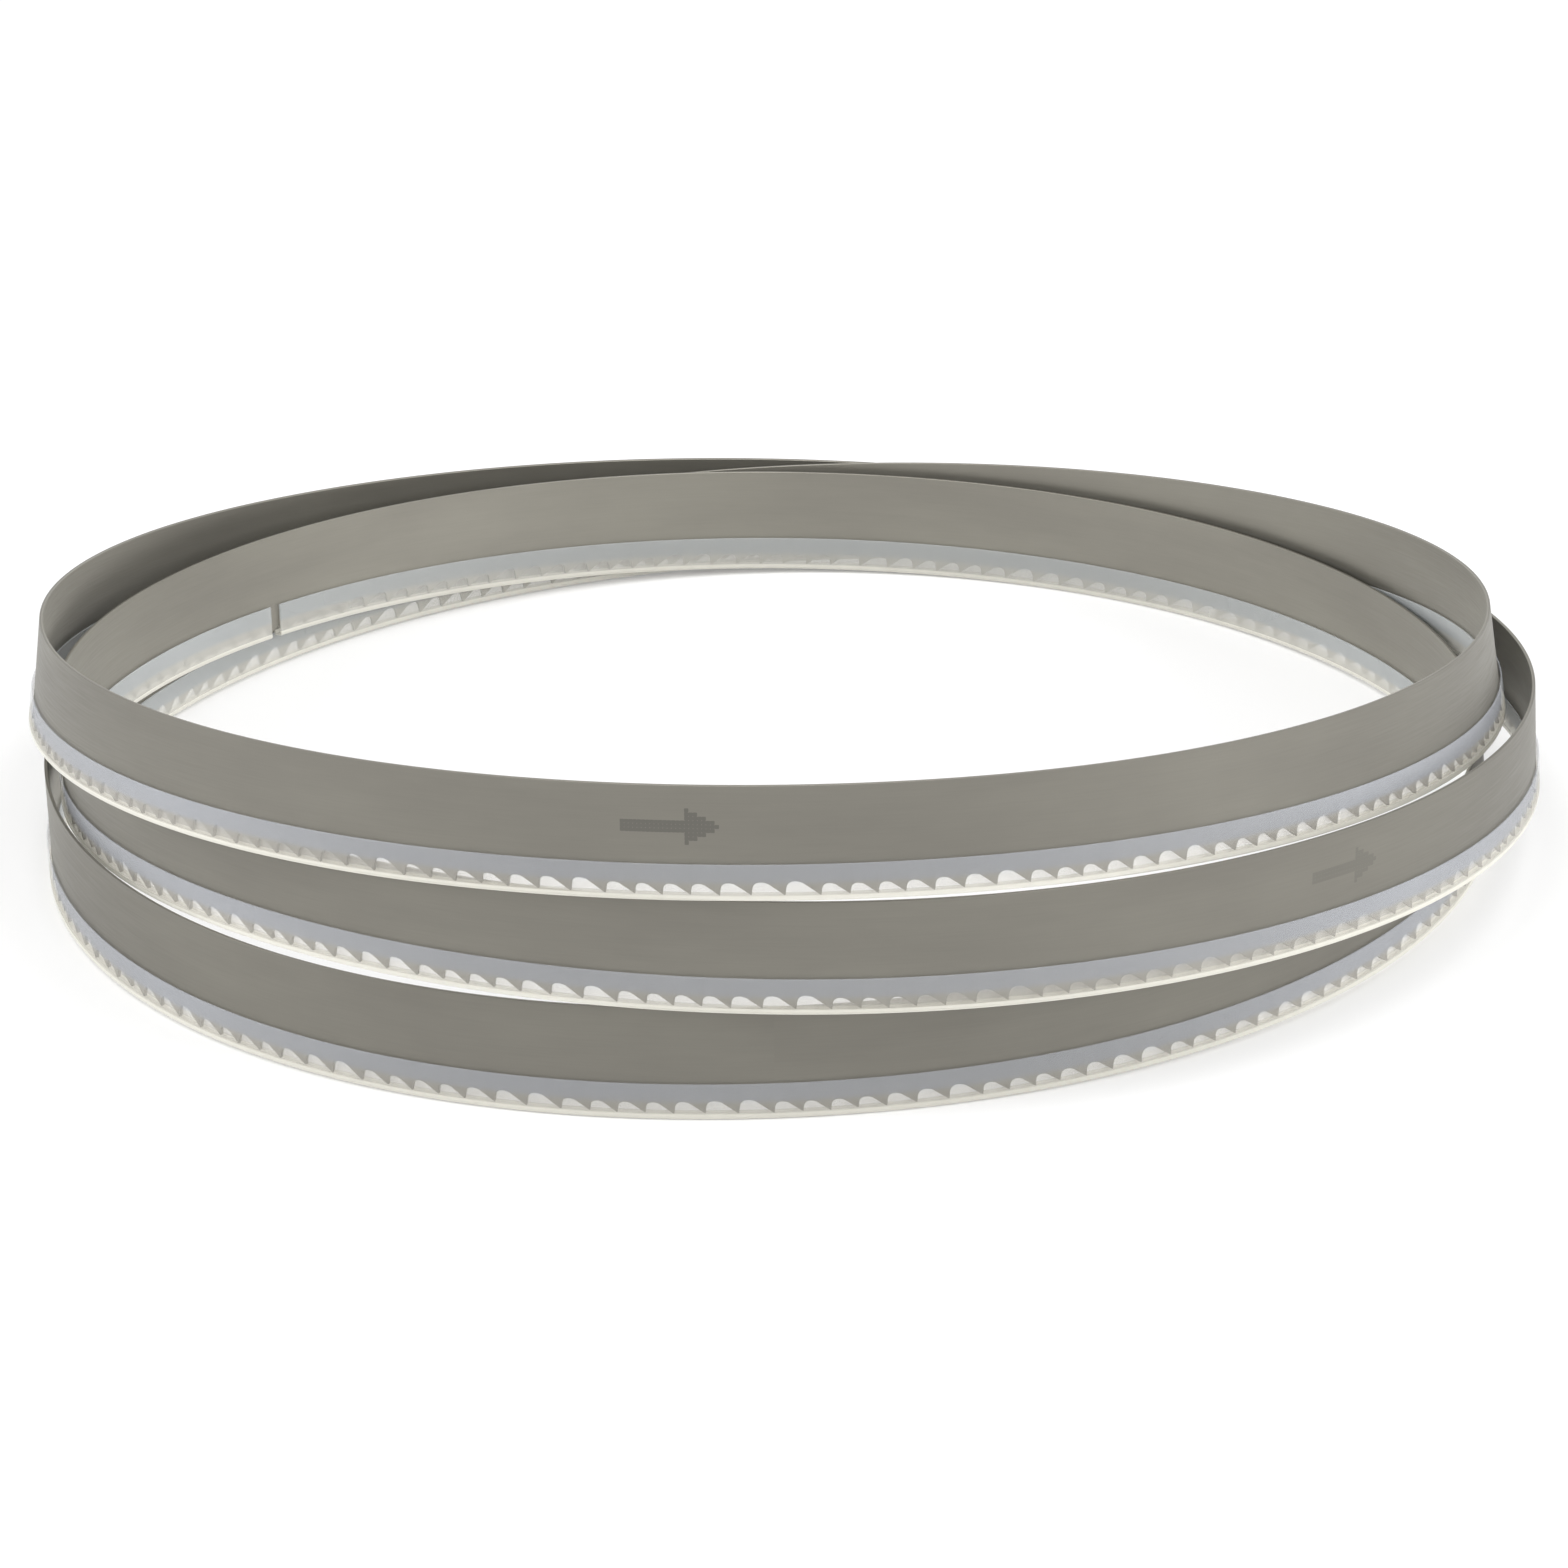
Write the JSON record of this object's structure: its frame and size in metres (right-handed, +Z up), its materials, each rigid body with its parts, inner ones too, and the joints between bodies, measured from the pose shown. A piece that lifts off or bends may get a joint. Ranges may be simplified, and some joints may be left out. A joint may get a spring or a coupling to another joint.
{
  "type": "band saw blade",
  "caption": "Endless band saw blade folded into a flat storage coil of overlapping loops, with a clear plastic guard pushed over its teeth.",
  "frame": {"origin": "middle of the coil's outline, on the surface that the coil rests on", "axes": "+Z up through the coil's open eye, from the toothed edge to the back edge; +X to the right and +Y away from someone who looks at the coil's front"},
  "size_m": [0.3902, 0.3894, 0.0904],
  "materials": {
    "blade_steel": "satin steel, ground lengthwise, with a faint oily bloom",
    "guard_plastic": "clear, slightly milky soft plastic with a gloss"
  },
  "bodies": {
    "root": {"blade_band": "blade_steel", "tooth_guard": "guard_plastic"}
  },
  "joints": []
}
